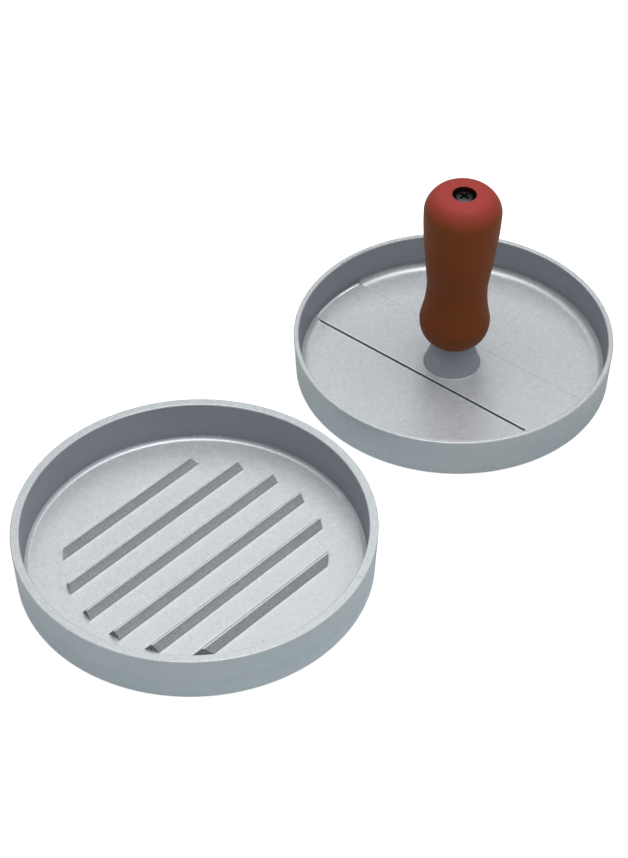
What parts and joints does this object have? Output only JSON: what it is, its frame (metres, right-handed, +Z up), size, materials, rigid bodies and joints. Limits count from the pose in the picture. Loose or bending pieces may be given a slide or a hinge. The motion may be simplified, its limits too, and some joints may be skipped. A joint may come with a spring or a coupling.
{
  "type": "burger press",
  "caption": "Hand burger press in two loose cast parts: a shallow round dish with raised ribs, and a flanged press plate with an upright turned handle.",
  "frame": {"origin": "centre of the ribbed dish's underside, on the table the two castings stand on", "axes": "+Z up; +X from the dish's centre towards the press plate's centre, along the ribs; +Y completes the right-handed frame"},
  "size_m": [0.2472, 0.12, 0.0778],
  "materials": {
    "cast_aluminium": "bead-blasted casting, satin grey",
    "handle_plastic": "smooth matte red-brown",
    "screw_steel": "zinc-plated steel"
  },
  "bodies": {
    "dish": {"base_dish": "cast_aluminium"},
    "press": {"press_plate": "cast_aluminium", "handle": "handle_plastic", "handle_screw": "screw_steel", "screw_washer": "screw_steel"}
  },
  "joints": [
    {"name": "press_lift", "type": "slide", "parent": "dish", "child": "press", "axis": [0, 0, 1], "range_m": [0, 0.12]}
  ]
}
